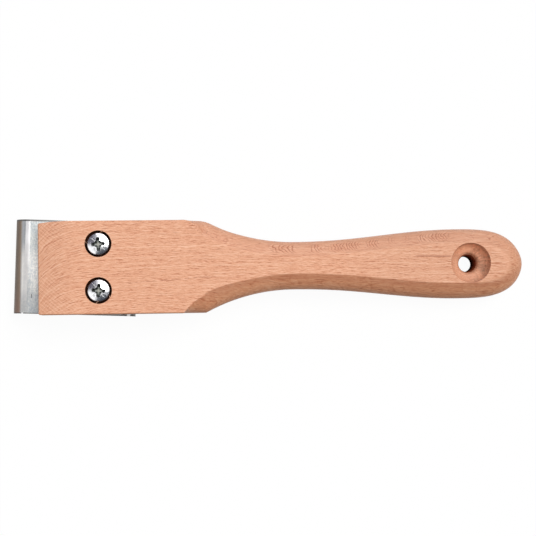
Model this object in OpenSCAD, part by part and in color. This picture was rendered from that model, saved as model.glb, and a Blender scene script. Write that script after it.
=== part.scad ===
// Hand scraper: a wooden handle with a reversible blade, hooked at both ends, clamped under its head.
// The origin is on the axis of the hanging hole, in the plane of the handle's underside.
// +X runs along the handle away from the blade, +Z comes out of the face with the screw heads.

/* [Handle] */
// Length of the wooden handle
handle_len = 254.5; // [240:0.5:300]
// Thickness of the board that the handle is cut from
handle_thick = 20; // [18:0.5:24]
// Width of the flat head
head_w = 48.2; // [46:0.1:54]
// Length of the head, from its front to the corners where it narrows
head_len = 86; // [75:1:95]
// Small rounding of the head's two front corners
head_ease = 0.8; // [0.4:0.1:2]
// Width of the neck where it is narrowest
neck_w = 25; // [22:0.5:30]
// Distance from the head's front to the narrowest part of the neck
neck_x = 132; // [120:1:145]
// Width of the grip where it is widest
grip_w = 36.8; // [32:0.2:40]
// Distance from the head's front to the widest part of the grip, where the tail's curve begins
grip_x = 219.5; // [200:0.5:225]
// How slowly the grip swells behind the neck, where 1 is an even cosine
grip_delay = 1.12; // [1:0.02:1.3]
// How far the rounded sides stand out beyond the flat faces' edges
side_bulge = 8; // [6:0.25:9]
// Sweep of the side's ellipse above and below the middle, where 90 would leave no crease
side_sweep = 63; // [50:1:80]
// Length over which the rounded sides run out into the square head
runout_len = 12; // [6:1:20]

/* [Hanging hole] */
// Distance from the head's front to the hanging hole
hang_x = 225; // [215:1:230]
// Diameter of the hanging hole
hang_d = 9; // [6:0.5:10]
// Radius of the round-nosed recess around the hanging hole
recess_r = 10.5; // [8:0.25:12]

/* [Screws] */
// Distance from the head's front to the screws
screw_x = 30.5; // [27:0.5:34]
// Distance between the two screws
screw_pitch = 24; // [22:0.2:28]
// Thread diameter
screw_d = 6; // [5:0.5:6]
// Length under the head
screw_len = 25; // [24:0.5:28]
// Diameter of the pan head
screw_head_d = 11.8; // [11:0.1:12.4]
// Height of the pan head
screw_head_h = 4.6; // [4:0.1:5]
// Radius of the crown of the pan head
screw_crown_r = 18; // [10:0.5:24]
// Diameter of the counterbores in the head
counterbore_d = 13.6; // [13.2:0.1:15]
// Depth of the counterbores
counterbore_depth = 5.2; // [5:0.1:7]
// Width over the wings of the cross recess
cross_span = 6.6; // [5:0.1:7]
// Width of one wing of the cross recess
cross_slot_w = 1.6; // [1:0.1:2]
// Depth of the cross recess
cross_depth = 3; // [2:0.1:3.4]
// Chamfer at the tip of the thread
screw_tip = 0.6; // [0.3:0.1:1]
// Width across the flats of the nuts
nut_flats = 10; // [9:0.25:11]
// Height of the nuts
nut_h = 5; // [4:0.1:6]

/* [Blade] */
// Width of the blade
blade_w = 50; // [46:0.5:54]
// Length of the blade over both its hooked ends
blade_len = 64.2; // [60:0.2:68]
// Thickness of the blade
blade_t = 1.5; // [1:0.1:2]
// Outer radius of the bends that turn the blade's ends down
bend_r = 8; // [6:0.5:9]
// Height of the hooked ends, from the top of the blade to the cutting edges
hook_h = 12; // [11:0.5:16]
// Angle of the ground bevels, measured from the blade's face
bevel_angle = 35; // [25:1:50]
// How far the blade stands out in front of the wood
blade_overhang = 14.2; // [12:0.2:16]
// How far the blade is turned out of square with the handle, within the play of its holes
blade_skew = 2.3; // [0:0.1:2.6]

/* [Clamp plate] */
// Width of the clamp plate, across the handle
clamp_w = 44; // [42:0.5:46]
// Length of the clamp plate, along the handle
clamp_len = 20; // [16:0.5:24]
// Thickness of the clamp plate
clamp_t = 2.5; // [2:0.1:3]
// Chamfer at the clamp plate's corners
clamp_corner = 3; // [1:0.5:4]

/* [Clearances] */
// Radial gap around a screw in the wood
wood_gap = 0.3; // [0.2:0.05:0.6]
// Radial gap around a screw in the blade, which lets it sit out of square
blade_gap = 0.6; // [0.55:0.05:1]
// Radial gap around a screw in the clamp plate
plate_gap = 0.3; // [0.2:0.05:0.6]
// Radial gap between a screw and its nut
thread_gap = 0.05; // [0.02:0.01:0.1]

/* [Hidden] */
$fn = 64;
// Overshoot of a cut past the face that it opens
cut = 1;

// Handle outline: the eased head, an arc to the neck, a cosine to the grip and a blunt curve round the tail
tail_len = handle_len - grip_x;
neck_drop = (head_w - neck_w) / 2;
neck_run = neck_x - head_len;
neck_r = (neck_run * neck_run + neck_drop * neck_drop) / (2 * neck_drop);
ease_steps = 3;
runout_steps = 6;
neck_steps = 14;
grip_steps = 22;
tail_steps = 14;

function half_w(x) =
    x < head_ease ? head_w / 2 - head_ease + sqrt(max(0, head_ease ^ 2 - (head_ease - x) ^ 2)) :
    x < head_len ? head_w / 2 :
    x < neck_x ? neck_w / 2 + neck_r - sqrt(neck_r ^ 2 - (neck_x - x) ^ 2) :
    x < grip_x ? neck_w / 2 + (grip_w - neck_w) / 2 * swell((x - neck_x) / (grip_x - neck_x)) :
    grip_w / 2 * sqrt(max(0, 1 - ((x - grip_x) / tail_len) ^ 3));

// Share of the swelling from the neck to the grip
function swell(t) = ((1 - cos(180 * min(1, max(0, t)))) / 2) ^ grip_delay;

// Distances from the head's front at which the outline has a point, up to the tail
stations = concat(
    [for (i = [0 : ease_steps]) head_ease * (1 - cos(90 * i / ease_steps))],
    [for (i = [0 : runout_steps - 1]) head_len - runout_len * (1 - i / runout_steps)],
    [for (i = [0 : neck_steps - 1]) head_len + neck_run * i / neck_steps],
    [for (i = [0 : grip_steps]) neck_x + (grip_x - neck_x) * i / grip_steps]);
side = concat(
    [for (x = stations) [x, half_w(x)]],
    [for (i = [1 : tail_steps]) [grip_x + tail_len * sin(90 * i / tail_steps) ^ (2 / 3),
                                 grip_w / 2 * cos(90 * i / tail_steps)]]);
// The whole outline: along one side to the tip of the tail, and back along the other
outline = concat(side, [for (i = [len(side) - 2 : -1 : 0]) [side[i][0], -side[i][1]]]);

// Inward direction at each point of the outline
function unit(v) = v / norm(v);
function inward(i, n = len(outline)) =
    let (d = unit(outline[min(i + 1, n - 1)] - outline[max(i - 1, 0)])) [d[1], -d[0]];

// Share of the rounded side at a distance from the front: none in the head, all of it past its corners
function roundness(x) = sin(90 * min(1, max(0, (x - head_len + runout_len) / runout_len)));

// The rounded side is part of an ellipse, over the handle's thickness
side_semi_y = side_bulge / (1 - cos(side_sweep));
side_semi_z = handle_thick / 2 / sin(side_sweep);
side_steps = 10;
function side_angle(k) = side_sweep * (2 * k / side_steps - 1);

handle_points = [for (i = [0 : len(outline) - 1]) for (k = [0 : side_steps])
    let (depth = side_semi_y * (1 - cos(side_angle(k))) * roundness(outline[i][0]),
         p = outline[i] + depth * inward(i))
    [p[0], p[1], handle_thick / 2 + side_semi_z * sin(side_angle(k))]];
function corner(i, k) = (i % len(outline)) * (side_steps + 1) + k;
// The flat faces are strips of triangles between the two sides
mid = len(side) - 1;
function across(i) = len(outline) - 1 - i;
function flat_face(k) = concat(
    [for (i = [0 : mid - 1]) [corner(i, k), corner(i + 1, k), corner(across(i), k)]],
    [for (i = [1 : mid - 1]) [corner(i, k), corner(across(i), k), corner(across(i - 1), k)]]);
function turned_over(faces) = [for (f = faces) [f[2], f[1], f[0]]];
handle_faces = concat(
    [for (i = [0 : len(outline) - 1]) for (k = [0 : side_steps - 1])
        [corner(i, k), corner(i + 1, k + 1), corner(i, k + 1)]],
    [for (i = [0 : len(outline) - 1]) for (k = [0 : side_steps - 1])
        [corner(i, k), corner(i + 1, k), corner(i + 1, k + 1)]],
    flat_face(side_steps),
    turned_over(flat_face(0)));

// Levels down through the clamp, from the handle's underside
clamp_top = -blade_t;
clamp_bottom = clamp_top - clamp_t;
seat_z = handle_thick - counterbore_depth;

// Places along the blade, measured from the screws' line
blade_front = -screw_x - blade_overhang;
blade_mid = blade_front + blade_len / 2;

// Puts what is drawn from the head's front where the hanging hole is the origin
module from_front() translate([-hang_x, 0, 0]) children();

// Repeats a cut at both screws
module at_screws() for (s = [-1, 1]) translate([screw_x, s * screw_pitch / 2, 0]) children();

// Points of an arc about a centre
function arc(cx, cz, r, from, to, steps = 12) =
    [for (i = [0 : steps]) let (a = from + (to - from) * i / steps) [cx + r * cos(a), cz + r * sin(a)]];

// Side view of half the blade, from its cutting edge round the bend to its middle, with its end at x = 0
hooked_half = let (bevel_h = blade_t / tan(bevel_angle)) concat(
    [[blade_t, -hook_h], [0, -hook_h + bevel_h]],
    arc(bend_r, -bend_r, bend_r, 180, 90),
    [[blade_len / 2, 0], [blade_len / 2, -blade_t]],
    arc(bend_r, -bend_r, bend_r - blade_t, 90, 180));

module handle() {
    color("burlywood") from_front() difference() {
        polyhedron(handle_points, handle_faces);
        translate([hang_x, 0, -cut]) cylinder(d = hang_d, h = handle_thick + 2 * cut);
        translate([hang_x, 0, handle_thick]) sphere(r = recess_r);
        at_screws() {
            translate([0, 0, -cut]) cylinder(d = screw_d + 2 * wood_gap, h = handle_thick + 2 * cut);
            translate([0, 0, seat_z]) cylinder(d = counterbore_d, h = counterbore_depth + cut);
        }
    }
}

// One end of the blade, drawn from its middle
module blade_end() rotate([90, 0, 0]) translate([-blade_len / 2, 0, 0])
    linear_extrude(height = blade_w, center = true) polygon(hooked_half);

// The holes lie evenly about the blade's middle, so that it fits the same way when it is reversed
module blade() {
    color("silver") from_front() translate([screw_x, 0, 0]) rotate([0, 0, -blade_skew]) difference() {
        translate([blade_mid, 0, 0]) {
            blade_end();
            mirror([1, 0, 0]) blade_end();
        }
        for (x = [0, 2 * blade_mid]) for (s = [-1, 1]) translate([x, s * screw_pitch / 2, -blade_t - cut])
            cylinder(d = screw_d + 2 * blade_gap, h = blade_t + 2 * cut);
    }
}

module clamp_plate() {
    x = clamp_len / 2;
    y = clamp_w / 2;
    color("silver") from_front() difference() {
        translate([screw_x, 0, clamp_bottom]) linear_extrude(height = clamp_t) polygon([
            [x - clamp_corner, y], [clamp_corner - x, y], [-x, y - clamp_corner], [-x, clamp_corner - y],
            [clamp_corner - x, -y], [x - clamp_corner, -y], [x, clamp_corner - y], [x, y - clamp_corner]]);
        at_screws() translate([0, 0, clamp_bottom - cut])
            cylinder(d = screw_d + 2 * plate_gap, h = clamp_t + 2 * cut);
    }
}

module clamp_nuts() {
    nut_r = nut_flats / 2 / cos(30);
    color("lightsteelblue") from_front() at_screws() translate([0, 0, clamp_bottom - nut_h]) difference() {
        cylinder(r = nut_r, h = nut_h, $fn = 6);
        translate([0, 0, -cut]) cylinder(d = screw_d + 2 * thread_gap, h = nut_h + 2 * cut);
    }
}

// One machine screw with a pan head and a cross recess, its head seated at z = 0
module pan_screw() {
    tick_w = 0.35;
    tick_reach = cross_span / 2 + 1.2;
    thread_r = screw_d / 2;
    difference() {
        union() {
            rotate_extrude() polygon([
                [0, -screw_len], [thread_r - screw_tip, -screw_len], [thread_r, -screw_len + screw_tip],
                [thread_r, cut], [0, cut]]);
            intersection() {
                cylinder(d = screw_head_d, h = screw_head_h);
                translate([0, 0, screw_head_h - screw_crown_r]) sphere(r = screw_crown_r);
            }
        }
        for (turn = [0, 90]) rotate([0, 0, turn])
            translate([-cross_span / 2, -cross_slot_w / 2, screw_head_h - cross_depth])
                cube([cross_span, cross_slot_w, cross_depth + cut]);
        translate([0, 0, screw_head_h - cross_depth]) cylinder(d = 2 * cross_slot_w, h = cross_depth + cut);
        for (turn = [45, 135]) rotate([0, 0, turn])
            translate([-tick_reach, -tick_w / 2, screw_head_h - 2.2 * tick_w])
                cube([2 * tick_reach, tick_w, cut]);
    }
}

module screw_left() color("silver") from_front() translate([screw_x, screw_pitch / 2, seat_z]) pan_screw();

module screw_right() color("silver") from_front() translate([screw_x, -screw_pitch / 2, seat_z]) pan_screw();

handle();
blade();
clamp_plate();
clamp_nuts();
screw_left();
screw_right();
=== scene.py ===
"""Looks of a wooden hand scraper with a reversible hooked blade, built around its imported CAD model.

Lengths are millimetres unless a name says otherwise, in the CAD frame: the hanging hole's axis is the
origin, +X runs away from the blade, +Z comes out of the face with the screw heads.
"""

import math
import random

import bmesh
import bpy
from mathutils import Matrix, Vector


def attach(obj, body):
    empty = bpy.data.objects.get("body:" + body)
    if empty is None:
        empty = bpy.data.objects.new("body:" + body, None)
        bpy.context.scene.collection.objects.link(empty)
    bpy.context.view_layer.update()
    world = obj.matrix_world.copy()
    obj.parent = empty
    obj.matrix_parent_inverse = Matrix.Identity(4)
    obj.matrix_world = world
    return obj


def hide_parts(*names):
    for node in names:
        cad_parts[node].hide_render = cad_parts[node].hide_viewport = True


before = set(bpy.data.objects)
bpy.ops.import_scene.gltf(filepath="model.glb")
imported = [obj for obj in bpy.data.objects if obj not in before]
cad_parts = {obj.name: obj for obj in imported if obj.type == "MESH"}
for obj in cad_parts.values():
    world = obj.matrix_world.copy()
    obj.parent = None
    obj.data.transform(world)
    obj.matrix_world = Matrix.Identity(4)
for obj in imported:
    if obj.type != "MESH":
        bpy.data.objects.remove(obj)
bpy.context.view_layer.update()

# Sizes that several pieces share

MM = 0.001
HEAD_FRONT = -225.0
THICK = 20.0
SCREW_LINE = -194.5
SCREW_PITCH = 24.0
SCREW_SIDES = (-SCREW_PITCH / 2, SCREW_PITCH / 2)
SEAT_Z = 14.8
COUNTERBORE_R = 6.8
RECESS_R = 10.5

BLADE_W = 50.0
BLADE_LEN = 64.2
BLADE_T = 1.5
BEND_R = 8.0
HOOK_H = 12.0
BEVEL = math.radians(35.0)
BLADE_SKEW = math.radians(-2.3)
# The blade's middle, from the line of the screws that hold it
BLADE_MID = -44.7 + BLADE_LEN / 2


# Materials


class Field:
    """A value that varies over a surface. Arithmetic on it adds Math nodes to its material."""

    def __init__(self, tree, socket):
        self.tree = tree
        self.socket = socket

    def math(self, operation, *rest):
        node = self.tree.nodes.new("ShaderNodeMath")
        node.operation = operation
        for place, value in enumerate((self, *rest)):
            feed(self.tree, node.inputs[place], value)
        return Field(self.tree, node.outputs[0])

    def __add__(self, other):
        return self.math("ADD", other)

    def __sub__(self, other):
        return self.math("SUBTRACT", other)

    def __mul__(self, other):
        return self.math("MULTIPLY", other)

    def __truediv__(self, other):
        return self.math("DIVIDE", other)

    def __abs__(self):
        return self.math("ABSOLUTE")

    __radd__ = __add__
    __rmul__ = __mul__

    def __rsub__(self, other):
        return (self * -1.0).math("ADD", other)

    def wave(self, period):
        """A sine with this period"""
        return (self * (2 * math.pi / period)).math("SINE")

    def step(self, low, high):
        """0 at low, 1 at high, with a smooth run between them. low may be above high."""
        if low > high:
            return 1.0 - self.step(high, low)
        node = self.tree.nodes.new("ShaderNodeMapRange")
        node.interpolation_type = "SMOOTHSTEP"
        feed(self.tree, node.inputs["Value"], self)
        node.inputs["From Min"].default_value = low
        node.inputs["From Max"].default_value = high
        return Field(self.tree, node.outputs["Result"])

    def band(self, low, high, soft):
        """1 between low and high, 0 outside, with runs of soft at both ends"""
        return self.step(low - soft, low) * self.step(high + soft, high)


def feed(tree, target, value):
    """Link a field to a socket, or set the socket to a number or colour"""
    if isinstance(value, Field):
        tree.links.new(value.socket, target)
    elif isinstance(value, tuple) and len(value) == 3 and len(target.default_value) == 4:
        target.default_value = (*value, 1.0)
    else:
        target.default_value = value


class Recipe:
    """One material. x, y and z are the piece's own coordinates in millimetres, facing its normal."""

    def __init__(self, name):
        self.material = bpy.data.materials.new(name)
        self.material.use_nodes = True
        self.tree = self.material.node_tree
        self.shader = self.tree.nodes["Principled BSDF"]
        where = self.tree.nodes.new("ShaderNodeTexCoord")
        self.x, self.y, self.z = self.split(self.scaled(where.outputs["Object"], 1 / MM))
        self.facing = self.split(where.outputs["Normal"])

    def scaled(self, socket, factor):
        node = self.tree.nodes.new("ShaderNodeVectorMath")
        node.operation = "SCALE"
        self.tree.links.new(socket, node.inputs[0])
        node.inputs["Scale"].default_value = factor
        return node.outputs[0]

    def split(self, socket):
        node = self.tree.nodes.new("ShaderNodeSeparateXYZ")
        self.tree.links.new(socket, node.inputs[0])
        return [Field(self.tree, out) for out in node.outputs]

    def noise(self, x, y, z, detail=2.0, roughness=0.5):
        """Noise centred on 0, mostly from -0.3 to 0.3, over three coordinates"""
        at = self.tree.nodes.new("ShaderNodeCombineXYZ")
        for socket, value in zip(at.inputs, (x, y, z)):
            feed(self.tree, socket, value)
        node = self.tree.nodes.new("ShaderNodeTexNoise")
        self.tree.links.new(at.outputs[0], node.inputs["Vector"])
        node.inputs["Scale"].default_value = 1.0
        node.inputs["Detail"].default_value = detail
        node.inputs["Roughness"].default_value = roughness
        return Field(self.tree, node.outputs[0]) - 0.5

    def ramp(self, share, stops):
        """A colour that runs through stops, a list of (share, colour)"""
        node = self.tree.nodes.new("ShaderNodeValToRGB")
        feed(self.tree, node.inputs[0], share)
        points = node.color_ramp.elements
        while len(points) < len(stops):
            points.new(0.5)
        for point, (place, colour) in zip(points, stops):
            point.position = place
            point.color = (*colour, 1.0)
        return Field(self.tree, node.outputs[0])

    def mix(self, share, first, second, kind="MIX"):
        node = self.tree.nodes.new("ShaderNodeMix")
        node.data_type = "RGBA"
        node.blend_type = kind
        feed(self.tree, node.inputs[0], share)
        feed(self.tree, node.inputs[6], first)
        feed(self.tree, node.inputs[7], second)
        return Field(self.tree, node.outputs[2])

    def tinted(self, share, colour, tint):
        """A colour that is multiplied by a tint as far as share says"""
        return self.mix(share, colour, self.mix(1.0, colour, tint, "MULTIPLY"))

    def grey(self, value):
        """A colour with this value in all three channels"""
        node = self.tree.nodes.new("ShaderNodeCombineColor")
        for socket in node.inputs:
            feed(self.tree, socket, value)
        return Field(self.tree, node.outputs[0])

    def bump(self, height, depth):
        """Relief of the surface. height runs from 0 to about 1, depth is what 1 stands for in mm."""
        node = self.tree.nodes.new("ShaderNodeBump")
        node.inputs["Distance"].default_value = depth * MM
        feed(self.tree, node.inputs["Height"], height)
        self.tree.links.new(node.outputs[0], self.shader.inputs["Normal"])

    def set(self, **inputs):
        for name, value in inputs.items():
            feed(self.tree, self.shader.inputs[name.replace("_", " ")], value)

    def linked(self, name):
        """The field that feeds one of the shader's inputs so far"""
        return Field(self.tree, self.shader.inputs[name].links[0].from_socket)


WOOD_DARK = (0.545, 0.195, 0.092)
WOOD_MIDDLE = (0.722, 0.326, 0.178)
WOOD_PALE = (0.825, 0.435, 0.265)
WOOD_ARCS = (0.47, 0.15, 0.062)
CREASE_SHADE = (0.42, 0.13, 0.06)
WOOD_MARKS = (0.38, 0.12, 0.055)
RECESS_PAINTED_SHEEN = (0.76, 0.47, 0.33)
FLAT_SHEEN_TINT = (1.05, 1.11, 1.17)
LOWER_SIDE_SHADE_TINT = (0.98, 0.93, 0.86)
BORE_SHADE_DEEP = (0.030, 0.008, 0.004)
BORE_SHADE_MOUTH = (0.27, 0.062, 0.026)
COUNTERBORE_SHADE = (0.045, 0.010, 0.003)
RING_LEAN = math.radians(36.0)
RING_PITCH = 2.97
ARC_LEAN = math.radians(41.0)
ARC_PITCH = 0.4


def vessels(r, across, ring_depth):
    """Dark fibres and pores of several lengths along X"""
    x = r.x
    lines = r.noise(x / 40.0, across / 0.42, ring_depth / 1.4, 0.0)
    dashes = r.noise(x / 6.0, across / 0.36, ring_depth / 0.9, 0.0)
    short = r.noise(x / 2.4, across / 0.34, ring_depth / 0.7, 0.0)
    pores = r.noise(x / 1.0, across / 0.36, ring_depth / 0.6, 0.0)
    return lines * 0.4 + dashes * 0.65 + short * 0.7 + pores * 0.4


def cutter_hatch(x, y, front_of_top):
    """The cross-hatch that the cutter left on top near the front, in one direction round the middle"""
    down = (x + y * 1.15).wave(2.3) * (y.step(6.0, 14.0) + y.step(2.0, -8.0))
    up = (x * 0.8 - y).wave(2.0) * y.band(-4.0, 4.0, 6.0)
    return (down + up) * front_of_top


def ring_arcs(r, from_front):
    """Small arcs where the shaped side lies flat on the rings, and flecks behind the head"""
    x, y, z = r.x, r.y, r.z
    flat_on = (r.facing[1] * math.sin(ARC_LEAN) + r.facing[2] * math.cos(ARC_LEAN)).step(0.968, 0.99)
    clusters = r.noise(x / 7.0, y / 40.0, z / 40.0, 0.0).step(-0.06, 0.1)
    contour = y * math.sin(ARC_LEAN) + z * math.cos(ARC_LEAN) + x * 0.2
    contour = contour + r.noise(x / 3.0, y / 2.0, z / 2.0, 0.0) * 0.5
    arcs = contour.wave(ARC_PITCH).step(0.1, 0.95) * flat_on * clusters
    runout = abs(y + from_front * 0.42 - 54.1).step(2.6, 1.2) * from_front.band(79.0, 97.0, 3.0)
    flecks = r.noise(x / 1.0, y / 0.55, z / 0.55, 0.0).step(0.05, 0.2) * runout * z.step(17.0, 18.5)
    return arcs.math("MAXIMUM", flecks * 0.7)


def wood_marks(r, wobble, grain):
    """A dark streak on the grip, and a string of dashes behind the lower screw"""
    x, y = r.x, r.y
    streak = abs(y + wobble * 0.7 + x * 0.011 - 3.5).step(0.46, 0.12) * x.band(-27.5, -12.5, 3.0)
    string = abs(y + wobble - x * 0.065 - 3.35).step(0.4, 0.1)
    string = string * x.band(-180.0, -138.0, 6.0) * grain.step(-0.15, 0.1)
    return streak + string * 0.8


def painted_recess_light(x, y, from_hole):
    """How much paler or darker the turned wall of the hanging hole's recess is painted from place to
    place: painted light and shade
    """
    painted_rim_light = (x * 0.85 + y * 0.5).step(-5.5, -9.0) * from_hole.step(9.6, 10.4)
    # pale is painted light on the wall towards +Y, dark is painted shade on the wall towards +X
    pale = (x * 0.35 + y * 0.9).step(1.0, 5.0) * from_hole.band(6.6, 9.6, 0.7)
    dark = (x - abs(y) * 0.8).step(1.5, 6.5) * from_hole.band(6.2, 8.8, 0.7)
    painted_bore_shade = (x * 0.8 + y * 0.6).step(1.0, 4.5) * from_hole.step(6.6, 4.9)
    return painted_rim_light * 0.25 + pale * 0.32 - dark * 0.22 - painted_bore_shade * 0.3


def beech():
    """Steamed beech, fine sanded. Its rings lean across the board, so its flat faces show dashes."""
    r = Recipe("beech")
    x, y, z = r.x, r.y, r.z
    from_front = x - HEAD_FRONT
    big = r.noise(x / 32.0, y / 12.0, z / 12.0, 2.0)
    small = r.noise(x / 8.0, y / 3.0, z / 3.0, 1.0)
    # The rings turn down towards the front of the head
    side = y + (from_front / -10.0).math("EXPONENT") * 13.0
    along_ring = side * math.cos(RING_LEAN) - z * math.sin(RING_LEAN) + big * 2.4 + small * 0.7
    ring_depth = side * math.sin(RING_LEAN) + z * math.cos(RING_LEAN) + big * 2.4 + small * 0.3

    # A pale line follows each dark fibre
    grain = vessels(r, along_ring, ring_depth) - vessels(r, along_ring + 0.5, ring_depth) * 0.42
    cloud = r.noise(x / 30.0, along_ring / 7.0, ring_depth / 7.0, 2.0)
    dashes = grain.step(0.2, 0.4)
    ring = (ring_depth / RING_PITCH).math("FRACT")
    pale_ring = ring.band(0.48, 0.5, 0.07) * (0.8 - grain)

    top = r.facing[2].step(0.9, 0.985)
    hatch = cutter_hatch(x, y, from_front.step(26.0, 5.0) * top) * (cloud * 2.0 + 1.0)

    lower_side = r.facing[1].step(-0.25, -0.55)
    patch = r.noise(x / 15.0, z / 9.0 + x / 22.0, y / 30.0, 0.0) * lower_side
    patch_edge = abs(patch - 0.06).step(0.02, 0.004) * lower_side
    calm = 1.0 - lower_side * 0.3
    tone = 0.53 - grain * calm * 1.2 + cloud * 0.1 + pale_ring * calm * 0.3
    tone = tone - dashes * calm * 0.14 + hatch * 0.12
    # Patches on the lower side; the tone there is also lowered as painted shade
    tone = tone + patch.step(0.05, 0.08) * 0.14 - patch_edge * 0.2 - lower_side * 0.03
    colour = r.ramp(tone, [(0.00, WOOD_DARK), (0.50, WOOD_MIDDLE), (1.00, WOOD_PALE)])
    colour = r.mix(ring_arcs(r, from_front), colour, WOOD_ARCS)
    # The flat faces are painted paler than the shaped sides: partly finer sanding, partly a painted
    # sheen of the light from above
    flat = abs(r.facing[2]).step(0.955, 0.995)
    colour = r.tinted(flat, colour, FLAT_SHEEN_TINT)
    # Painted shade: the lower side, which faces away from the light, is tinted darker and more saturated
    colour = r.tinted(lower_side, colour, LOWER_SIDE_SHADE_TINT)
    # Painted shade along the crease where the top face turns into the lower side
    crease_shade = r.facing[1].band(-0.5, -0.3, 0.1) * r.facing[2].step(0.6, 0.75) * (cloud * 2.0 + 0.8)
    colour = r.mix(crease_shade * 0.35, colour, CREASE_SHADE)
    # shade multiplies the colour: the shaped sides are darker, partly rougher wood and partly painted
    # shade; the front of the top face is darker as painted shade; the grip is darker towards the tail
    shade = 0.9 + flat * 0.1
    shade = shade - x.step(-75.0, -30.0) * 0.06 - from_front.step(24.0, 3.0) * 0.09 * top
    marks = (wood_marks(r, small, grain) * top).math("MINIMUM", 1.0)
    colour = r.mix(marks * 0.8, colour, WOOD_MARKS)

    # The hanging hole's recess shows the cutter's chatter, with painted light, shade and sheen on its
    # wall; its bore is painted dark as shade, darkest deep down
    from_hole = (x * x + y * y).math("SQRT")
    in_hole = from_hole.step(RECESS_R + 0.25, RECESS_R - 0.05) * z.band(0.3, THICK - 0.1, 0.1)
    chatter = r.noise(y.math("ARCTAN2", x) * 8.0, from_hole / 3.5, z / 9.0, 1.0)
    shade = shade + in_hole * (chatter * x.step(-3.0, 6.0) + 0.07)
    shade = shade * (1.0 + painted_recess_light(x, y, from_hole) * in_hole)
    # Painted sheen: the recess is mixed towards a paler colour
    colour = r.mix(in_hole * 0.3, colour, RECESS_PAINTED_SHEEN)
    # Painted shade: the bore is painted near-black deep down and dark reddish towards its mouth
    bore = from_hole.step(5.0, 4.6) * in_hole
    colour = r.mix(bore * 0.95, colour, r.ramp(z / 12.0, [(0.3, BORE_SHADE_DEEP), (0.72, BORE_SHADE_MOUTH)]))

    # The screws' counterbores are painted near-black: painted shade in the narrow gap round the screw
    # heads
    along = x - SCREW_LINE
    beside = abs(y) - SCREW_PITCH / 2
    from_screw = (along * along + beside * beside).math("SQRT")
    counterbore = from_screw.step(COUNTERBORE_R + 0.3, COUNTERBORE_R + 0.05)
    counterbore = counterbore * z.step(THICK - 0.01, THICK - 0.3)
    colour = r.mix(counterbore * 0.97, colour, COUNTERBORE_SHADE)
    colour = r.mix(1.0, colour, r.grey(shade), "MULTIPLY")
    painted_hole_shade = bore.math("MAXIMUM", counterbore)
    r.set(
        Base_Color=colour,
        Roughness=dashes * 0.08 + 0.60,
        Specular_IOR_Level=0.5 - painted_hole_shade * 0.46,
        IOR=1.45 - painted_hole_shade * 0.45,
        Sheen_Weight=0.3 - in_hole.math("MAXIMUM", counterbore) * 0.3,
        Sheen_Roughness=0.3,
    )
    r.bump(0.5 - grain * 0.9 - dashes * 0.2 + chatter * in_hole + hatch * 0.13, 0.16)
    return r.material


STEEL_STOPS = [
    (0.10, (0.40, 0.42, 0.435)),
    (0.45, (0.52, 0.52, 0.505)),
    (0.62, (0.60, 0.588, 0.553)),
    (0.92, (0.71, 0.69, 0.65)),
]
OXIDE_AND_SHADE_STOPS = [(0.48, (0.33, 0.26, 0.225)), (0.62, (0.235, 0.16, 0.105)), (0.86, (0.115, 0.07, 0.038))]
OXIDE_RED = (0.24, 0.125, 0.095)
LEFT_EDGE_TINT = (0.69, 0.73, 0.745)
RIGHT_EDGE_TINT = (0.58, 0.60, 0.625)
STEEL_BEND_HIGHLIGHT = (0.99, 0.985, 0.97)
STEEL_BEND_SHEEN = (0.80, 0.782, 0.752)
STEEL_LILAC_SHADE = (0.35, 0.355, 0.385)
STEEL_REAR_HOOK_SHADE = (0.10, 0.10, 0.095)
STEEL_GLINT = (0.98, 0.98, 0.97)
STEEL_BURR_AND_SHADE = (0.09, 0.085, 0.08)
STEEL_EDGE_HIGHLIGHT = (0.99, 0.99, 0.99)
STEEL_NICK = (0.05, 0.05, 0.05)


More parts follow.
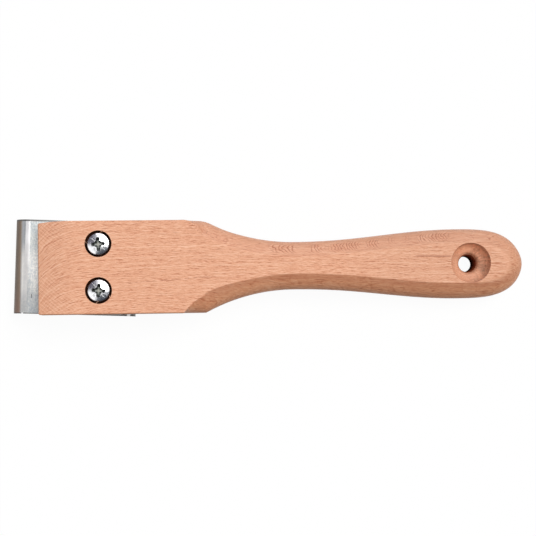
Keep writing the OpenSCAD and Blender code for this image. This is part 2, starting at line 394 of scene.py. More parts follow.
def blade_steel():
    """Spring steel: cloudy and slightly blue, with painted highlights, sheen and shade on its bends, and
    its front hook browned, partly as painted shade
    """
    r = Recipe("blade_steel")
    x, y, z = r.x, r.y, r.z
    clouds = r.noise(x / 7.0, y / 9.0, z / 7.0, 3.0, 0.6)
    spots = r.noise(x / 0.9, y / 1.1, z / 0.9, 1.0, 0.6)
    scratches = r.noise(x / 0.3, y / 9.0, z / 0.3, 1.0)
    colour = r.ramp(0.46 + clouds * 0.9 + spots * 1.5 + scratches * 0.6, STEEL_STOPS)
    # Darker towards both long edges
    ragged_y = y + clouds * 14.0
    colour = r.tinted(ragged_y.step(-2.0, 18.0) * 0.9, colour, LEFT_EDGE_TINT)
    colour = r.tinted(ragged_y.step(-3.0, -15.0) * 0.9, colour, RIGHT_EDGE_TINT)

    # How far a place is past the start of its bend. Both bends lie alike about the blade's middle.
    past = abs(x - BLADE_MID) - (BLADE_LEN / 2 - BEND_R)
    front = x.step(BLADE_MID, BLADE_MID - 1.0)
    rear = 1.0 - front
    upper = r.facing[2].step(0.0, 0.2)
    # Painted highlight across the start of both bends, stronger towards +Y
    bend_highlight = past.band(0.4, 2.3, 0.5) * ragged_y.step(-8.0, 13.0)
    colour = r.mix(bend_highlight * upper * 0.95, colour, STEEL_BEND_HIGHLIGHT)
    # Painted sheen a little further round the front bend
    soft = past.band(1.2, 3.5, 1.1) * front * ragged_y.step(16.0, 4.0)
    soft = soft * (y.step(-23.0, -9.0) * 0.6 + 0.4)
    colour = r.mix(soft * 0.7, colour, STEEL_BEND_SHEEN)
    # Painted shade, dark and bluish, further round the front bend towards +Y
    lilac_shade = past.band(3.0, 4.4, 0.5) * front * y.step(4.0, 16.0)
    colour = r.mix(lilac_shade * 0.6, colour, STEEL_LILAC_SHADE)
    # The front hook is browned by oxidation, and darkened further round the bend as painted shade
    brown_and_shade = r.ramp((past + spots * 1.4) / BEND_R, OXIDE_AND_SHADE_STOPS)
    brown_and_shade = r.mix(y.step(-8.0, -24.0) * 0.5, brown_and_shade, OXIDE_RED)
    oxide_and_shade = (past + spots * 0.8 - y * 0.012).step(3.6, 5.2) * front
    colour = r.mix(oxide_and_shade * 0.95, colour, brown_and_shade)
    # Painted shade far round the rear bend, and a painted highlight (the glint) before it
    rear_hook_shade = (past + spots * 0.5).step(5.5, 6.2) * rear * upper
    colour = r.mix(rear_hook_shade * 0.9, colour, STEEL_REAR_HOOK_SHADE)
    glint = past.band(3.6, 5.0, 0.4) * rear
    colour = r.mix(glint * 0.9, colour, STEEL_GLINT)

    # Sheared long edges with a dark burr that also stands in for painted shade along them, a notch in
    # one of them painted dark as its shade, and a deep scratch
    edge = abs(y)
    burr_and_shade = edge.step(23.9, 24.25) * (y.step(0.0, 1.0) * x.step(-12.0, -30.0) + y.step(0.0, -1.0)) * upper
    notch_shade = (abs(x + 40.1) * 0.5 - edge + 24.9).step(0.55, 0.1) * y.step(0.0, 1.0) * front
    colour = r.mix((burr_and_shade * (1.0 - glint) * 0.85).math("MAXIMUM", notch_shade), colour, STEEL_BURR_AND_SHADE)
    # Painted highlight at the -Y end of the front bend
    edge_highlight = past.band(2.7, 3.3, 0.3) * y.step(-23.9, -24.2) * front
    colour = r.mix(edge_highlight, colour, STEEL_EDGE_HIGHLIGHT)
    nick = abs(x + 35.1 + (y + 15.3) * 0.06).step(0.3, 0.12) * y.band(-16.1, -14.5, 0.4)
    colour = r.mix(nick * upper * 0.9, colour, STEEL_NICK)
    r.set(Base_Color=colour, Metallic=1.0 - oxide_and_shade * 0.7, Roughness=0.33 + clouds * 0.2 + oxide_and_shade * 0.1)
    r.bump(0.5 + spots * 0.3 + scratches * 0.2 - nick * 1.5, 0.006)
    return r.material


def zinc(name, tint, roughness):
    """Zinc plating with a fine crystal mottle and a few dull spots"""
    r = Recipe(name)
    x, y, z = r.x, r.y, r.z
    mottle = r.noise(x / 0.9, y / 0.9, z / 0.9, 3.0, 0.6)
    dull = r.noise(x / 5.0, y / 5.0, z / 5.0, 2.0).step(0.08, 0.26)
    dark = tuple(c * 0.72 for c in tint)
    colour = r.ramp(0.5 + mottle * 1.2, [(0.2, dark), (0.7, tint)])
    colour = r.mix(dull * 0.35, colour, (0.52, 0.53, 0.55))
    r.set(Base_Color=colour, Metallic=1.0, Roughness=roughness + dull * 0.16 + mottle * 0.12)
    r.bump(0.5 + mottle * 0.5, 0.008)
    return r


RECESS_SHADE_STOPS = [(0.08, (0.22, 0.21, 0.18)), (0.26, (0.10, 0.11, 0.09)), (0.85, (0.03, 0.035, 0.031))]
DARK_PATCH_GREY = (0.24, 0.25, 0.24)
RIM_WOOD_REFLECTION = (0.36, 0.27, 0.24)
TICK_HIGHLIGHT_WHITE = (0.95, 0.95, 0.95)


def screw_zinc():
    """Bright zinc with a recess painted dark as shade, ticks between its arms painted matt white as
    highlights, and a rim painted as a reflection of the wood
    """
    r = zinc("screw_zinc", (0.80, 0.80, 0.82), 0.2)
    x, y, z = r.x, r.y, r.z
    out = (x * x + y * y).math("SQRT")
    # Painted shade: the cross recess is painted dark, darker towards the ends of its arms
    recess = out.step(4.1, 3.6) * z.step(4.26, 4.0)
    colour = r.mix(recess * 0.93, r.linked("Base Color"), r.ramp(out / 4.0, RECESS_SHADE_STOPS))
    # Patchy grey darkening round the recess
    dark_patch = r.noise(x / 1.4, y / 1.4, z / 1.4, 1.0).step(-0.06, 0.12) * out.step(4.7, 3.4)
    colour = r.mix(dark_patch * 0.6, colour, DARK_PATCH_GREY)
    # Painted reflection of the wood on the rim of the head
    rim = out.step(5.2, 5.6) * z.step(0.2, 0.4)
    colour = r.mix(rim * 0.8, colour, RIM_WOOD_REFLECTION)
    # Painted highlight: the four ticks are painted near-white and matt
    along = abs(x - y) * math.sqrt(0.5)
    across = abs(x + y) * math.sqrt(0.5)
    tick = across.step(0.34, 0.12) * along.band(2.3, 3.9, 0.35)
    tick = tick + along.step(0.34, 0.12) * across.band(2.3, 3.9, 0.35)
    tick = tick * z.step(3.9, 4.0)
    colour = r.mix(tick, colour, TICK_HIGHLIGHT_WHITE)
    roughness = r.linked("Roughness") + recess * 0.3
    r.set(Base_Color=colour, Metallic=1.0 - tick * 0.85, Roughness=roughness)
    return r.material


def fibre():
    """Torn beech fibre"""
    r = Recipe("beech_fibre")
    tint = r.noise(r.x / 0.5, r.y / 0.5, r.z / 0.5)
    colour = r.ramp(0.5 + tint, [(0.3, (0.50, 0.24, 0.13)), (0.7, (0.78, 0.46, 0.30))])
    r.set(Base_Color=colour, Roughness=0.7)
    return r.material


# Mesh building


def add_object(name, mesh, place=Matrix.Identity(4)):
    obj = bpy.data.objects.new(name, mesh)
    bpy.context.scene.collection.objects.link(obj)
    obj.matrix_world = place
    return obj


def mesh_of(name, points, faces):
    mesh = bpy.data.meshes.new(name)
    mesh.from_pydata([Vector(p) * MM for p in points], [], faces)
    mesh.validate()
    return mesh


def solid(name, shape, place=Matrix.Identity(4)):
    """A new object of a shape (points, faces), with its faces turned outward"""
    mesh = mesh_of(name, *shape)
    turned = bmesh.new()
    turned.from_mesh(mesh)
    bmesh.ops.recalc_face_normals(turned, faces=turned.faces)
    turned.to_mesh(mesh)
    turned.free()
    return add_object(name, mesh, place)


def lathe(profile, turns):
    """Points and faces of a profile [(radius, z), ...] turned about Z, with its ends on the axis"""
    inner = profile[1:-1]
    points = [(0.0, 0.0, profile[0][1])]
    for k in range(turns):
        a = 2 * math.pi * k / turns
        points += [(rad * math.cos(a), rad * math.sin(a), z) for rad, z in inner]
    points.append((0.0, 0.0, profile[-1][1]))
    rows = len(inner)
    faces = []
    for k in range(turns):
        a = 1 + k * rows
        b = 1 + (k + 1) % turns * rows
        faces.append((0, b, a))
        faces += [(a + i, b + i, b + i + 1, a + i + 1) for i in range(rows - 1)]
        faces.append((a + rows - 1, b + rows - 1, len(points) - 1))
    return points, faces


def taper(low_outline, high_outline, low, high):
    """Points and faces between two outlines [(x, y), ...] of as many points, each at its own height"""
    n = len(low_outline)
    points = [(x, y, low) for x, y in low_outline] + [(x, y, high) for x, y in high_outline]
    faces = [(i, (i + 1) % n, n + (i + 1) % n, n + i) for i in range(n)]
    faces += [tuple(range(n - 1, -1, -1)), tuple(range(n, 2 * n))]
    return points, faces


def prism(outline, low, high):
    """Points and faces of one outline between two heights"""
    return taper(outline, outline, low, high)


def tube_faces(first, rings, around):
    """Faces of a tube with closed ends. Its points are numbered ring by ring from first."""
    faces = []
    for i in range(rings - 1):
        for j in range(around):
            a = first + i * around + j
            b = first + i * around + (j + 1) % around
            faces.append((a, b, b + around, a + around))
    last = first + (rings - 1) * around
    faces.append(tuple(first + j for j in range(around)))
    faces.append(tuple(last + j for j in reversed(range(around))))
    return faces


def grid_faces(steps):
    """Faces of a grid with as many squares along both sides. Its points are numbered row by row."""
    row = steps + 1
    corners = [i * row + j for i in range(steps) for j in range(steps)]
    return [(a, a + row, a + row + 1, a + 1) for a in corners]


def moved(shape, matrix):
    points, faces = shape
    return [matrix @ Vector(p) for p in points], faces


def bake_modifiers(obj):
    graph = bpy.context.evaluated_depsgraph_get()
    mesh = bpy.data.meshes.new_from_object(obj.evaluated_get(graph))
    obj.modifiers.clear()
    old = obj.data
    obj.data = mesh
    bpy.data.meshes.remove(old)


def cut_away(obj, shapes, operation="DIFFERENCE"):
    for shape in shapes:
        tool = solid("cutter", shape, obj.matrix_world)
        change = obj.modifiers.new("cut", "BOOLEAN")
        change.operation = operation
        change.solver = "EXACT"
        change.object = tool
        bpy.context.view_layer.update()
        bake_modifiers(obj)
        bpy.data.objects.remove(tool)


def finish_piece(obj, body, replaces, material, sharp_deg=38.0, soft_edge=0.0):
    """Shading, edges, material and place of a finished piece"""
    if soft_edge:
        edge = obj.modifiers.new("edge", "BEVEL")
        edge.width = soft_edge * MM
        edge.segments = 2
        edge.limit_method = "ANGLE"
        edge.angle_limit = math.radians(32)
        edge.use_clamp_overlap = True
        bpy.context.view_layer.update()
        bake_modifiers(obj)
    obj.data.shade_smooth()
    obj.data.set_sharp_from_angle(angle=math.radians(sharp_deg))
    even = obj.modifiers.new("even", "WEIGHTED_NORMAL")
    even.keep_sharp = True
    even.weight = 90
    obj.data.materials.clear()
    obj.data.materials.append(material)
    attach(obj, body)
    if replaces:
        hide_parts(*replaces)


def smooth(value, low, high):
    t = min(1.0, max(0.0, (value - low) / (high - low)))
    return t * t * (3 - 2 * t)


def bell(x, middle, reach):
    return math.exp(-(((x - middle) / reach) ** 2))


def spread(start, end, count):
    """Evenly spaced numbers from start, without end"""
    return [start + (end - start) * i / count for i in range(count)]


# Handle. x in these functions is the distance from the head's front.

HEAD_HALF = 24.1
HEAD_LEN = 86.0
HEAD_EASE = 0.8
NECK_HALF = 12.5
NECK_X = 132.0
NECK_R = ((NECK_X - HEAD_LEN) ** 2 + (HEAD_HALF - NECK_HALF) ** 2) / (2 * (HEAD_HALF - NECK_HALF))
GRIP_HALF = 18.4
GRIP_X = 219.5
GRIP_DELAY = 1.12
TAIL_LEN = 35.0
# The rounded sides run out over RUNOUT before the head's rear corners
RUNOUT = 12.0
SIDE_BULGE = 8.0
SIDE_SWEEP = math.radians(63.0)
SEMI_Y = SIDE_BULGE / (1 - math.cos(SIDE_SWEEP))
SEMI_Z = THICK / 2 / math.sin(SIDE_SWEEP)
UPPER_CORNER = 0.8
LOWER_CORNER = 0.12


def half_width(x, corner):
    """Half the handle's width. corner is how far the head's rear corner is softened."""
    if x < HEAD_EASE:
        return HEAD_HALF - HEAD_EASE + math.sqrt(max(0.0, HEAD_EASE**2 - (HEAD_EASE - x) ** 2))
    if x < NECK_X:
        reach = NECK_R**2 - (NECK_X - x) ** 2
        if reach <= 0:
            return HEAD_HALF
        arc = NECK_HALF + NECK_R - math.sqrt(reach)
        if abs(arc - HEAD_HALF) > 12 * corner:
            return min(arc, HEAD_HALF)
        return -corner * math.log(math.exp(-arc / corner) + math.exp(-HEAD_HALF / corner))
    if x < GRIP_X:
        swell = ((1 - math.cos(math.pi * (x - NECK_X) / (GRIP_X - NECK_X))) / 2) ** GRIP_DELAY
        return NECK_HALF + (GRIP_HALF - NECK_HALF) * swell
    return GRIP_HALF * math.sqrt(max(0.0, 1 - ((x - GRIP_X) / TAIL_LEN) ** 3))


def handle_side(corner):
    """Outline points from the front corner to the tip of the tail, on the +Y side"""
    places = [HEAD_EASE * (1 - math.cos(math.pi / 2 * i / 5)) for i in range(5)]
    places += spread(HEAD_EASE, HEAD_LEN - RUNOUT, 48)
    places += spread(HEAD_LEN - RUNOUT, HEAD_LEN - 0.4, 16)
    places += [HEAD_LEN + shift for shift in (-0.4, -0.2, 0.0, 0.2, 0.4)]
    places += spread(HEAD_LEN + 1.0, GRIP_X + 2.0, 104)
    side = [(x, half_width(x, corner)) for x in places]
    for i in range(2, 61):
        a = math.pi / 2 * i / 60
        blunt = 1 - 0.12 * math.sin(a) ** 10
        side.append((GRIP_X + TAIL_LEN * math.sin(a) ** (2 / 3), GRIP_HALF * math.cos(a) * blunt))
    return side


def cross_section(x, upper):
    """(depth inward, z) round the side, from the bottom face to the top face"""
    run = min(1.0, max(0.0, (x - HEAD_LEN + RUNOUT) / RUNOUT))
    if upper:
        share = run * smooth(run, -0.2, 1.0)
    else:
        share = math.sin(math.pi / 2 * run) * (1 + 0.17 * bell(x, 92.0, 11.0))
    ease = 0.55 - 0.2 * smooth(x, 74, 90) + 2.9 * smooth(x, 222, 250)
    if upper:
        ease += 0.5 * smooth(x, 80, 100)

    def on_side(angle):
        return SEMI_Y * (1 - math.cos(angle)) * share, THICK / 2 + SEMI_Z * math.sin(angle)

    speed = math.hypot(SEMI_Y * share * math.sin(SIDE_SWEEP), SEMI_Z * math.cos(SIDE_SWEEP))
    last = SIDE_SWEEP - min(0.5, ease / speed)
    corner = on_side(SIDE_SWEEP)
    start = on_side(last)
    end = (corner[0] + ease, THICK)
    half = [on_side(last * i / 7) for i in range(7)]
    for i in range(5):
        t = i / 4
        weights = ((1 - t) ** 2, 2 * t * (1 - t), t * t)
        half.append(tuple(sum(w * p for w, p in zip(weights, trio)) for trio in zip(start, corner, end)))
    return [(d, THICK - z) for d, z in reversed(half[1:])] + half


def tip_drop(x, upper):
    """How far the tip of the tail lies off the middle"""
    return 0.4 * smooth(x, GRIP_X + (22.0 if upper else 6.0), GRIP_X + TAIL_LEN)


def worn(x):
    """How much the upper long edge lacks, mostly at the front corner"""
    return 0.15 * smooth(x, 80.0, 70.0) + 1.25 * max(0.0, 1 - x / 16.0) ** 2 + 0.3 * bell(x, 96.0, 8.0)


HANGING_HOLE = [
    (0, -2), (4.7, -2), (4.3, 0), (4.15, 0.25), (4.1, 0.6), (4.2, 7.0), (4.35, 8.6), (4.6, 10.0),
    (4.95, 10.9), (5.25, 11.7), (5.6, 12.3), (6.2, 12.8), (7.1, 13.3), (7.9, 13.85), (8.7, 14.6),
    (9.4, 15.6), (9.95, 16.7), (10.3, 17.9), (10.45, 18.9), (RECESS_R, THICK - 0.4),
    (RECESS_R + 0.08, THICK - 0.08), (RECESS_R + 0.22, THICK + 0.02), (RECESS_R + 0.4, THICK + 1),
    (0, THICK + 1),
]
SCREW_HOLE = [
    (0, -2), (3.7, -2), (3.5, 0), (3.3, 0.3), (3.3, SEAT_Z), (COUNTERBORE_R, SEAT_Z),
    (COUNTERBORE_R, THICK - 0.22), (COUNTERBORE_R + 0.06, THICK - 0.07),
    (COUNTERBORE_R + 0.18, THICK + 0.01), (COUNTERBORE_R + 0.3, THICK + 1), (0, THICK + 1),
]


def build_handle(material):
    upper = [(x, y - worn(x) - tip_drop(x, True)) for x, y in handle_side(UPPER_CORNER)]
    lower = [(x, y + tip_drop(x, False)) for x, y in handle_side(LOWER_CORNER)]
    front = upper[0][1]
    steps = 32
    loop = [(0.0, -front + 2 * front * i / steps, i > steps / 2) for i in range(1, steps)]
    loop += [(x, y, True) for x, y in upper]
    loop += [(x, -y, False) for x, y in reversed(lower[:-1])]
    n = len(loop)
    points = []
    for i, (x, y, is_upper) in enumerate(loop):
        before = Vector(loop[i - 1][:2])
        after = Vector(loop[(i + 1) % n][:2])
        along = (after - before).normalized()
        for depth, z in cross_section(x, is_upper):
            points.append((x + HEAD_FRONT + depth * along.y, y - depth * along.x, z))
    rows = len(points) // n
    faces = []
    for i in range(n):
        a = i * rows
        b = (i + 1) % n * rows
        faces += [(a + k, b + k, b + k + 1, a + k + 1) for k in range(rows - 1)]
    faces.append(tuple(i * rows for i in range(n)))
    faces.append(tuple(i * rows + rows - 1 for i in reversed(range(n))))
    handle = solid("beech_handle", (points, faces))
    cuts = [lathe(HANGING_HOLE, 96)]
    cuts += [moved(lathe(SCREW_HOLE, 72), Matrix.Translation((SCREW_LINE, y, 0))) for y in SCREW_SIDES]
    cut_away(handle, cuts)
    finish_piece(handle, "tool", ["handle"], material)


# Blade


def bend_arc(radius, steps=14):
    """(x, z) points of a bend about the front bend's centre, from the hook to the flat"""
    turns = [math.pi - math.pi / 2 * i / steps for i in range(steps + 1)]
    return [(BEND_R + radius * math.cos(a), -BEND_R + radius * math.sin(a)) for a in turns]


def build_blade(material):
    """Both hooked ends in one profile, in the blade's own frame, whose origin is on the screws' line"""
    cutting_edge = [(BLADE_T, -HOOK_H), (0.0, -HOOK_H + BLADE_T / math.tan(BEVEL))]
    outer = [(x - BLADE_LEN / 2, z) for x, z in cutting_edge + bend_arc(BEND_R)]
    inner = [(x - BLADE_LEN / 2, z) for x, z in bend_arc(BEND_R - BLADE_T)]
    loop = outer + [(-x, z) for x, z in reversed(outer)]
    loop += [(-x, z) for x, z in inner] + inner[::-1]
    n = len(loop)
    rows = 20
    widths = [0.2 + (BLADE_W - 0.5) * (i / rows - 0.5) for i in range(rows + 1)]
    points = [(x + BLADE_MID, y, z) for y in widths for x, z in loop]
    faces = []
    for row in range(rows):
        a = row * n
        faces += [(a + i, a + (i + 1) % n, a + n + (i + 1) % n, a + n + i) for i in range(n)]
    faces += [tuple(range(n - 1, -1, -1)), tuple(rows * n + i for i in range(n))]
    place = Matrix.Translation((SCREW_LINE * MM, 0, 0)) @ Matrix.Rotation(BLADE_SKEW, 4, "Z")
    blade = solid("hooked_blade", (points, faces), place)
    hole = lathe([(0, -3), (3.6, -3), (3.6, 2), (0, 2)], 40)
    middles = [(x, y, 0) for x in (0.0, 2 * BLADE_MID) for y in SCREW_SIDES]
    cut_away(blade, [moved(hole, Matrix.Translation(middle)) for middle in middles])
    finish_piece(blade, "cutter", ["blade"], material, soft_edge=0.14)


# Clamp

CLAMP_TOP = -1.5
CLAMP_LOW = CLAMP_TOP - 2.5
CLAMP_HALF_X = 10.0
CLAMP_HALF_Y = 22.0
CLAMP_CHAMFER = 3.0
NUT_H = 5.0
NUT_FLAT = 5.0
NUT_CORNER = NUT_FLAT / math.cos(math.pi / 6)
BEAD_LEN = 4.2
BEAD_R = 0.62


def build_clamp_plate(material):
    x, y, c = CLAMP_HALF_X, CLAMP_HALF_Y, CLAMP_CHAMFER
    outline = [(x - c, y), (c - x, y), (-x, y - c), (-x, c - y)]
    outline += [(-a, -b) for a, b in outline]
    shape = prism([(a + SCREW_LINE, b) for a, b in outline], CLAMP_LOW, CLAMP_TOP)
    plate = solid("clamp_plate_sheet", shape)
    hole = lathe([(0, -6), (3.3, -6), (3.3, 0), (0, 0)], 40)
    cut_away(plate, [moved(hole, Matrix.Translation((SCREW_LINE, y, 0))) for y in SCREW_SIDES])
    finish_piece(plate, "clamp", ["clamp_plate"], material, soft_edge=0.25)


def build_nut(y):
    """One weld nut under the clamp plate, chamfered at its free end"""
    low = CLAMP_LOW - NUT_H
    over = CLAMP_LOW + 1
    turns = [math.pi / 3 * i for i in range(6)]
    hexagon = [(NUT_CORNER * math.cos(a), NUT_CORNER * math.sin(a)) for a in turns]
    nut = solid("nut", prism(hexagon, low, CLAMP_LOW))
    rim = NUT_CORNER + 0.05
    turned = [(0, low), (NUT_FLAT - 0.12, low), (rim, low + 0.55), (rim, over), (0, over)]
    cut_away(nut, [lathe(turned, 96)], "INTERSECT")
    thread = [(0, low - 1), (3.75, low - 1), (3.05, low + 0.5), (3.05, over), (0, over)]
    cut_away(nut, [lathe(thread, 48)])
    nut.data.transform(Matrix.Translation((SCREW_LINE * MM, y * MM, 0)))
    return nut


def weld_beads(y):
    """Three short weld beads between a nut and the clamp plate"""
    points = []
    faces = []
    sections = 13
    around = 8
    for k in range(3):
        middle = math.radians(30 + 120 * k)
        faces += tube_faces(len(points), sections, around)
        for i in range(sections):
            t = i / (sections - 1)
            slide = (t - 0.5) * BEAD_LEN
            swell = math.sin(math.pi * min(max(t, 0.03), 0.97)) ** 0.5
            size = BEAD_R * swell * (1 + 0.12 * math.sin(i * 2.4 + k))
            cx = NUT_FLAT * math.cos(middle) - slide * math.sin(middle)
            cy = NUT_FLAT * math.sin(middle) + slide * math.cos(middle)
            for j in range(around):
                a = 2 * math.pi * j / around
                out = size * math.cos(a)
                height = CLAMP_LOW + size * math.sin(a)
                points.append((cx + out * math.cos(middle), cy + out * math.sin(middle), height))
    beads = solid("beads", (points, faces))
    beads.data.transform(Matrix.Translation((SCREW_LINE * MM, y * MM, 0)))
    return beads


def joined(name, objects):
    """One object with the meshes of several"""
    result = bmesh.new()
    for obj in objects:
        result.from_mesh(obj.data)
        bpy.data.objects.remove(obj)
    mesh = bpy.data.meshes.new(name)
    result.to_mesh(mesh)
    result.free()
    return add_object(name, mesh)


def build_nuts(material):
    parts = [build_nut(y) for y in SCREW_SIDES] + [weld_beads(y) for y in SCREW_SIDES]
    nuts = joined("weld_nuts", parts)
    finish_piece(nuts, "clamp", ["clamp_nuts"], material)


# Screws. z is the height above the seat of the head.

SCREW_LEN = 25.0
THREAD_END = -6.0
THREAD_ROOT = 2.55
SHANK_R = 3.0
THREAD_PITCH = 1.0
HEAD_R = 5.9
HEAD_H = 4.6
CROWN_R = 18.0
CROWN_EDGE = HEAD_R - 0.35
POINTS_AROUND = 36
# A quarter of the cross recess at its mouth and at its floor, and one of the four tick marks
CROSS_MOUTH = [
    (1.7, -1.05), (3.55, -0.95), (3.95, -0.6), (3.95, 0.6), (3.55, 0.95), (1.7, 1.05), (1.7, 1.7),
]
CROSS_FLOOR = [
    (0.71, -0.5), (1.7, -0.5), (1.9, -0.35), (1.9, 0.35), (1.7, 0.5), (0.71, 0.5), (0.71, 0.71),
]
TICK_MOUTH = [(2.35, -0.17), (4.7, -0.17), (4.7, 0.17), (2.35, 0.17)]
TICK_FLOOR = [(2.45, -0.02), (4.7, -0.02), (4.7, 0.02), (2.45, 0.02)]
CROSS_DEPTH = 2.9
TICK_DEPTH = 0.75


def thread_rings():
    """Rings (z, [radius, ...]) of the thread, tapering at its free end and running out at the other"""
    rings = []
    steps = int((THREAD_END + SCREW_LEN) / 0.125)
    for i in range(steps + 1):
        z = -SCREW_LEN + (THREAD_END + SCREW_LEN) * i / steps
        tip = smooth(z, -SCREW_LEN - 0.01, -SCREW_LEN + 0.7)
        top = smooth(z, THREAD_END, THREAD_END - 1.6)
        ring = []
        for j in range(POINTS_AROUND):
            phase = (z / THREAD_PITCH - j / POINTS_AROUND) % 1.0
            ridge = max(0.0, 1 - abs(phase - 0.5) / 0.42)
            full = THREAD_ROOT + (SHANK_R - THREAD_ROOT) * min(1.0, ridge * 1.15)
            full = SHANK_R + (full - SHANK_R) * top
            ring.append(full - 0.6 * (1 - tip))
        rings.append((z, ring))
    return rings


def crown_z(radius):
    """Height of the domed top of the head"""
    return HEAD_H - CROWN_R + math.sqrt(CROWN_R**2 - radius**2)


def four_times(quarter):
    """An outline from a quarter of it, turned about Z"""
    turns = [(1, 0), (0, 1), (-1, 0), (0, -1)]
    return [(c * a - s * b, s * a + c * b) for c, s in turns for a, b in quarter]


def build_screw(name, y, turn_deg, material, body, node):
    """A pan-head screw in its own frame, turned about its axis to where its recess points"""
    around = POINTS_AROUND
    edge_z = crown_z(CROWN_EDGE)
    profile = [(SHANK_R, -0.3), (SHANK_R, 0.0), (5.55, 0.0), (5.8, 0.12), (HEAD_R, 0.4)]
    profile += [(HEAD_R, edge_z - 0.45), (HEAD_R - 0.06, edge_z - 0.16)]
    crown = [CROWN_EDGE * (1 - i / 12.5) for i in range(13)]
    profile += [(radius, crown_z(radius)) for radius in crown]
    rings = thread_rings() + [(z, [radius] * around) for radius, z in profile]
    points = [(0, 0, -SCREW_LEN)]
    for z, ring in rings:
        for j, radius in enumerate(ring):
            a = 2 * math.pi * j / around
            points.append((radius * math.cos(a), radius * math.sin(a), z))
    points.append((0, 0, HEAD_H))
    last = len(points) - 1
    faces = [(0, 1 + (j + 1) % around, 1 + j) for j in range(around)]
    for i in range(len(rings) - 1):
        a = 1 + i * around
        for j in range(around):
            k = (j + 1) % around
            faces.append((a + j, a + k, a + around + k, a + around + j))
    a = 1 + (len(rings) - 1) * around
    faces += [(a + j, a + (j + 1) % around, last) for j in range(around)]
    seat = Matrix.Translation((SCREW_LINE * MM, y * MM, SEAT_Z * MM))
    screw = solid(name, (points, faces), seat @ Matrix.Rotation(math.radians(turn_deg), 4, "Z"))

    top = HEAD_H + 0.3
    cuts = [taper(four_times(CROSS_FLOOR), four_times(CROSS_MOUTH), HEAD_H - CROSS_DEPTH, top)]
    tick = taper(TICK_FLOOR, TICK_MOUTH, HEAD_H - TICK_DEPTH, top)
    for turn in range(4):
        cuts.append(moved(tick, Matrix.Rotation(math.pi / 4 + math.pi / 2 * turn, 3, "Z")))
    cut_away(screw, cuts)
    finish_piece(screw, body, [node], material, sharp_deg=32.0)


# Torn fibres at the counterbores, each a curve (start, bend, end) seen from above

STRANDS = [
    ((2.2, 18.9), (1.7, 18.0), (0.9, 17.3)),
    ((-1.6, -19.0), (-0.9, -18.0), (0.3, -17.4)),
    ((-6.6, 13.2), (-6.0, 12.8), (-5.7, 12.2)),
    ((5.9, -15.9), (5.5, -15.2), (5.5, -14.6)),
]
STRAND_THICK = 0.17


def build_fibres(material):
    """A few torn fibres that cross the edges of the counterbores"""
    random.seed(7)
    points = []
    faces = []
    around = 6
    steps = 9
    for strand in STRANDS:
        faces += tube_faces(len(points), steps, around)
        for i in range(steps):
            t = i / (steps - 1)
            x, y = ((1 - t) ** 2 * p + 2 * t * (1 - t) * q + t * t * r for p, q, r in zip(*strand))
            thick = STRAND_THICK * (1 - 0.8 * t)
            lift = 0.22 * math.sin(math.pi * t * 0.8) - 0.25 * t
            z = THICK - 0.02 + lift + random.uniform(-0.02, 0.02)
            for j in range(around):
                turn = 2 * math.pi * j / around
                out = thick * math.cos(turn)
                up = thick * math.sin(turn)
                points.append((SCREW_LINE + x + out, y + up * 0.6, min(z + up, THICK)))
    fibres = solid("torn_fibres", (points, faces))
    finish_piece(fibres, "tool", [], material, sharp_deg=80.0)


build_handle(beech())
build_blade(blade_steel())
# The clamp plate and nuts sit under the handle and are tinted darker than the screws as painted shade
build_clamp_plate(zinc("zinc_plate", (0.42, 0.43, 0.44), 0.38).material)
build_nuts(zinc("zinc_nuts", (0.50, 0.51, 0.525), 0.32).material)
screw_material = screw_zinc()
build_screw("screw_upper", SCREW_PITCH / 2, 4.0, screw_material, "left_screw", "screw_left")
build_screw("screw_lower", -SCREW_PITCH / 2, -6.0, screw_material, "right_screw", "screw_right")
build_fibres(fibre())


# Floor, light and camera

# The tool rests on its rear cutting edge and on the underside of its tail, both as (x, z)
REST_EDGE = (-176.5, -12.0)
REST_TAIL = (21.5, 0.0)
FLOOR_HALF = 1500.0
FLOOR_GREY = (0.62, 0.62, 0.62, 1.0)
FLOOR_GLOW_SHARE = 0.95
WHITE = (1.0, 1.0, 1.0, 1.0)
SKY_LEVEL = 0.345
KEY_LEVEL = 0.73
KEY_SOFTNESS = math.radians(34.0)
KEY_POLAR = math.radians(24.0)
KEY_AZIMUTH = math.radians(42.0)
CAMERA_AT = Vector((-168.15, -31.9, 716.7))
CAMERA_AIM = Vector((-107.15, -1.5, 20.0))
CAMERA_ROLL = math.radians(-0.9)
CAMERA_SENSOR_MM = 36.0
FOCAL_PX = 1351.0
PHOTO_PX = 536.0


def shown_directly(tree):
    """1 to the camera and in reflections and glass, 0 to light that falls on the object"""
    path = tree.nodes.new("ShaderNodeLightPath")
    shown = Field(tree, path.outputs["Is Camera Ray"])
    for ray in ("Is Glossy Ray", "Is Transmission Ray"):
        shown = shown.math("MAXIMUM", Field(tree, path.outputs[ray]))
    return shown


def mixed_shaders(tree, share, first, second):
    blend = tree.nodes.new("ShaderNodeMixShader")
    feed(tree, blend.inputs[0], share)
    tree.links.new(first, blend.inputs[1])
    tree.links.new(second, blend.inputs[2])
    return blend.outputs[0]


def floor_material():
    """White where it is seen, apart from the object's shadow, and plain pale as a source of light"""
    material = bpy.data.materials.new("floor")
    material.use_nodes = True
    tree = material.node_tree
    tree.nodes.clear()

    def shader(kind, name, value):
        node = tree.nodes.new(kind)
        node.inputs[name].default_value = value
        return node.outputs[0]

    paper = shader("ShaderNodeBsdfDiffuse", "Color", FLOOR_GREY)
    bright_paper = shader("ShaderNodeBsdfDiffuse", "Color", WHITE)
    glow = shader("ShaderNodeEmission", "Strength", 1.0)
    seen = mixed_shaders(tree, FLOOR_GLOW_SHARE, bright_paper, glow)
    out = tree.nodes.new("ShaderNodeOutputMaterial")
    tree.links.new(mixed_shaders(tree, shown_directly(tree), paper, seen), out.inputs["Surface"])
    return material


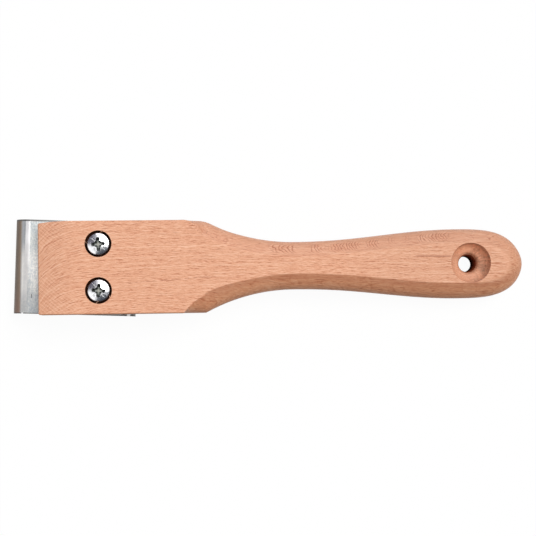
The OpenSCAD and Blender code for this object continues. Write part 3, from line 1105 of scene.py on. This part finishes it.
def floor_place():
    slope = math.atan2(REST_TAIL[1] - REST_EDGE[1], REST_TAIL[0] - REST_EDGE[0])
    edge = Matrix.Translation((REST_EDGE[0] * MM, 0, REST_EDGE[1] * MM))
    return edge @ Matrix.Rotation(-slope, 4, "Y") @ Matrix.Translation((0.1, 0, -0.00005))


def build_floor():
    steps = 12
    marks = [FLOOR_HALF * (2 * i / steps - 1) for i in range(steps + 1)]
    points = [(x, y, 0.0) for x in marks for y in marks]
    floor = add_object("floor", mesh_of("floor", points, grid_faces(steps)), floor_place())
    floor.data.materials.append(floor_material())


def card(name, points, faces, colour, place=Matrix.Identity(4)):
    """A glowing card that only shows in reflections"""
    obj = add_object(name, mesh_of(name, points, faces), place)
    material = bpy.data.materials.new(name)
    material.use_nodes = True
    tree = material.node_tree
    tree.nodes.clear()
    glow = tree.nodes.new("ShaderNodeEmission")
    glow.inputs["Color"].default_value = (*colour, 1.0)
    out = tree.nodes.new("ShaderNodeOutputMaterial")
    tree.links.new(glow.outputs[0], out.inputs["Surface"])
    obj.data.materials.append(material)
    obj.visible_camera = False
    obj.visible_diffuse = False
    obj.visible_shadow = False
    obj.visible_transmission = False


def direction(polar, azimuth):
    """A unit vector at an angle from straight up, in an azimuth from +X towards +Y"""
    flat = math.sin(polar)
    return Vector((flat * math.cos(azimuth), flat * math.sin(azimuth), math.cos(polar)))


def dome_card(name, polar_deg, azimuth_deg, colour, distance=900.0):
    """Part of a sphere round the screws, between two angles from straight up and two azimuths"""
    steps = 10
    centre = Vector((SCREW_LINE, 0.0, THICK))
    points = []
    for i in range(steps + 1):
        polar = math.radians(polar_deg[0] + (polar_deg[1] - polar_deg[0]) * i / steps)
        for j in range(steps + 1):
            azimuth = math.radians(azimuth_deg[0] + (azimuth_deg[1] - azimuth_deg[0]) * j / steps)
            points.append(centre + direction(polar, azimuth) * distance)
    card(name, points, grid_faces(steps), colour)


def build_light():
    world = bpy.data.worlds.new("studio")
    bpy.context.scene.world = world
    world.use_nodes = True
    tree = world.node_tree
    tree.nodes.clear()
    sky = tree.nodes.new("ShaderNodeBackground")
    sky.inputs["Color"].default_value = WHITE
    feed(tree, sky.inputs["Strength"], shown_directly(tree) * (1 - SKY_LEVEL) + SKY_LEVEL)
    out = tree.nodes.new("ShaderNodeOutputWorld")
    tree.links.new(sky.outputs[0], out.inputs["Surface"])

    data = bpy.data.lights.new("key", "SUN")
    data.energy = KEY_LEVEL * math.pi
    data.angle = KEY_SOFTNESS
    key = bpy.data.objects.new("key", data)
    bpy.context.scene.collection.objects.link(key)
    key.rotation_mode = "QUATERNION"
    key.rotation_quaternion = direction(KEY_POLAR, KEY_AZIMUTH).to_track_quat("Z", "Y")
    dome_card("card_upper_left", (15, 52), (102, 173), (0.14, 0.13, 0.17))
    dome_card("card_lower_right", (15, 52), (250, 357), (0.06, 0.07, 0.09))
    dome_card("card_lower_left", (15, 48), (184, 246), (1.5, 1.5, 1.5))
    dome_card("card_near_side", (54, 92), (215, 325), (0.15, 0.14, 0.13))
    dome_card("card_far_side", (38, 92), (40, 140), (3.4, 3.4, 3.6), 950.0)
    low = [(-300, -28, 0.6), (300, -28, 0.6), (420, -420, 110), (-420, -420, 110)]
    card("card_near_floor", low, [(0, 1, 2, 3)], (0.12, 0.10, 0.09), floor_place())


def build_camera():
    """The photograph's view: a long lens almost straight above, fitted to the object's corners in it"""
    forward = (CAMERA_AIM - CAMERA_AT).normalized()
    level = forward.cross(Vector((0, 1, 0))).normalized()
    upright = level.cross(forward)
    right = level * math.cos(CAMERA_ROLL) + upright * math.sin(CAMERA_ROLL)
    up = upright * math.cos(CAMERA_ROLL) - level * math.sin(CAMERA_ROLL)
    data = bpy.data.cameras.new("camera")
    data.sensor_width = CAMERA_SENSOR_MM
    data.lens = CAMERA_SENSOR_MM * FOCAL_PX / PHOTO_PX
    data.clip_start = 0.05
    data.clip_end = 20.0
    camera = bpy.data.objects.new("camera", data)
    bpy.context.scene.collection.objects.link(camera)
    turned = Matrix((right, up, -forward)).transposed().to_4x4()
    camera.matrix_world = Matrix.Translation(CAMERA_AT * MM) @ turned
    bpy.context.scene.camera = camera


build_floor()
build_light()
build_camera()
bpy.context.scene.view_settings.view_transform = "Standard"
